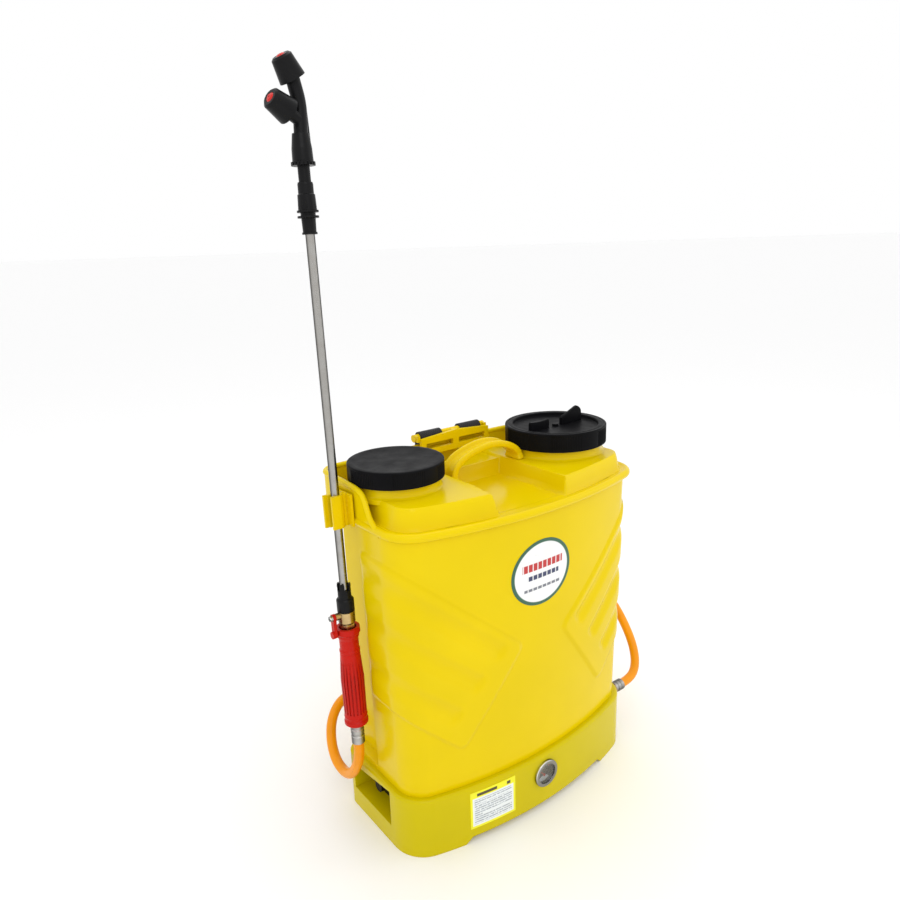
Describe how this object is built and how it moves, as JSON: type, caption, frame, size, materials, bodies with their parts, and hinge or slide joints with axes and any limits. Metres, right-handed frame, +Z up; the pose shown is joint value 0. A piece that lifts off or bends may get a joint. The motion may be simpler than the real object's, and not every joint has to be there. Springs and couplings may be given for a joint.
{
  "type": "knapsack electric sprayer",
  "caption": "Backpack sprayer: bowed yellow tank with two screw lids on a battery and pump base, a side lance with a double nozzle, a hose and shoulder straps.",
  "frame": {"origin": "on the floor, midway between the two feet and on the line through the middle of the tank's width", "axes": "+X along the tank's width, towards the hose outlet; -Y towards the bowed front face; +Z up"},
  "size_m": [0.5228, 0.338, 0.8948],
  "materials": {
    "tank_plastic": "glossy moulded",
    "base_plastic": "glossy moulded",
    "trim_plastic": "glossy moulded",
    "lid_plastic": "satin moulded",
    "black_plastic": "satin moulded",
    "red_plastic": "satin moulded",
    "tip_plastic": "glossy moulded",
    "brass": "machined and dull",
    "steel": "drawn tube",
    "zinc_steel": "bright zinc plate",
    "chrome": "polished",
    "rubber": "soft matte",
    "hose_rubber": "smooth satin",
    "cable": "satin",
    "battery_case": "satin",
    "pump_plastic": "satin",
    "strainer_plastic": "translucent white",
    "clear": "clear moulded",
    "dial": "printed",
    "label_white": "printed film",
    "label_yellow": "printed film",
    "strap_fabric": "woven and padded",
    "webbing": "woven"
  },
  "bodies": {
    "sprayer": {"tank_shell": "tank_plastic", "base_shell": "base_plastic", "base_hatch": "base_plastic", "hatch_screws": "zinc_steel", "base_screws": "zinc_steel", "carry_handle": "trim_plastic", "strap_hanger": "trim_plastic", "lance_clip": "trim_plastic", "strainer": "strainer_plastic", "battery": "battery_case", "battery_strap": "zinc_steel", "pump_motor": "zinc_steel", "pump_head": "pump_plastic", "tank_outlet": "black_plastic", "suction_elbow": "black_plastic", "pressure_hose": "rubber", "outlet_barb": "chrome", "gauge_body": "black_plastic", "gauge_face": "dial", "gauge_lens": "clear", "gauge_bezel": "chrome", "control_panel": "black_plastic", "switch_housing": "black_plastic", "speed_control": "zinc_steel", "charge_socket": "chrome", "wiring": "cable", "front_label": "label_white", "notice_label": "label_yellow", "spray_hose": "hose_rubber", "outlet_clamp": "chrome", "grip_clamp": "chrome", "hose_tail": "steel", "grip": "red_plastic", "valve_body": "brass", "lance_sleeve": "black_plastic", "lance_tube": "steel", "tube_collar": "black_plastic", "shoulder_strap_left": "strap_fabric", "shoulder_strap_right": "strap_fabric", "strap_webbing": "webbing", "strap_buckles": "black_plastic", "strap_hooks": "black_plastic"},
    "fill_gasket": {"fill_seal": "rubber"},
    "fill_cap": {"fill_lid": "lid_plastic"},
    "breather": {"breather_valve": "rubber"},
    "accessory_gasket": {"accessory_seal": "rubber"},
    "accessory_cap": {"accessory_lid": "lid_plastic"},
    "rotor": {"motor_shaft": "steel"},
    "needle": {"gauge_needle": "tip_plastic"},
    "rocker": {"rocker": "tip_plastic"},
    "speed_dial": {"speed_knob": "black_plastic"},
    "valve_handle": {"valve_lever": "red_plastic", "lever_screw": "chrome"},
    "coupling": {"coupling_nut": "black_plastic"},
    "nozzle_arm": {"nozzle_stem": "black_plastic", "nozzle_head": "black_plastic"},
    "upper_nozzle": {"upper_cap": "black_plastic", "upper_tip": "tip_plastic"},
    "lower_nozzle": {"lower_cap": "black_plastic", "lower_tip": "tip_plastic"}
  },
  "joints": [
    {"name": "fill_lid_lift", "type": "slide", "parent": "sprayer", "child": "fill_gasket", "axis": [0, 0, 1], "range_m": [0, 0.1]},
    {"name": "fill_lid_turn", "type": "hinge", "parent": "fill_gasket", "child": "fill_cap", "pos_m": [0.122, -0.005, 0.47], "axis": [0, 0, 1], "range_deg": [0, 540]},
    {"name": "breather_lift", "type": "slide", "parent": "fill_cap", "child": "breather", "axis": [0, 0, 1], "range_m": [0, 0.0012]},
    {"name": "accessory_lid_lift", "type": "slide", "parent": "sprayer", "child": "accessory_gasket", "axis": [0, 0, 1], "range_m": [0, 0.1]},
    {"name": "accessory_lid_turn", "type": "hinge", "parent": "accessory_gasket", "child": "accessory_cap", "pos_m": [-0.129, 0.001, 0.47], "axis": [0, 0, 1], "range_deg": [0, 540]},
    {"name": "motor_spin", "type": "hinge", "parent": "sprayer", "child": "rotor", "pos_m": [0.116, 0, 0.032], "axis": [0, 1, 0], "continuous": true},
    {"name": "needle_swing", "type": "hinge", "parent": "sprayer", "child": "needle", "pos_m": [0, -0.112, 0.047], "axis": [0, 1, 0], "range_deg": [0, 80], "stiffness_Nm_per_rad": 0.0002},
    {"name": "rocker_press", "type": "hinge", "parent": "sprayer", "child": "rocker", "pos_m": [-0.1651, -0.018, 0.048], "axis": [0, 1, 0], "range_deg": [-16, 0]},
    {"name": "speed_dial_turn", "type": "hinge", "parent": "sprayer", "child": "speed_dial", "pos_m": [-0.1671, 0.007, 0.046], "axis": [1, 0, 0], "range_deg": [0, 270]},
    {"name": "valve_turn", "type": "hinge", "parent": "sprayer", "child": "valve_handle", "pos_m": [-0.2202, 0.00517, 0.30191], "axis": [1, 0, 0], "range_deg": [-90, 0]},
    {"name": "coupling_turn", "type": "hinge", "parent": "sprayer", "child": "coupling", "pos_m": [-0.205, 0.02121, 0.75763], "axis": [0, 0.0352, 0.9994], "range_deg": [0, 360]},
    {"name": "nozzle_arm_turn", "type": "hinge", "parent": "sprayer", "child": "nozzle_arm", "pos_m": [-0.205, 0.0224, 0.79161], "axis": [0, 0.0352, 0.9994], "range_deg": [-180, 180]},
    {"name": "upper_nozzle_turn", "type": "hinge", "parent": "nozzle_arm", "child": "upper_nozzle", "pos_m": [-0.20793, 0.02456, 0.87058], "axis": [-0.5083, -0.0779, 0.8577], "range_deg": [0, 360]},
    {"name": "lower_nozzle_turn", "type": "hinge", "parent": "nozzle_arm", "child": "lower_nozzle", "pos_m": [-0.21674, 0.02163, 0.84066], "axis": [-0.8659, -0.1676, 0.4713], "range_deg": [0, 360]}
  ]
}
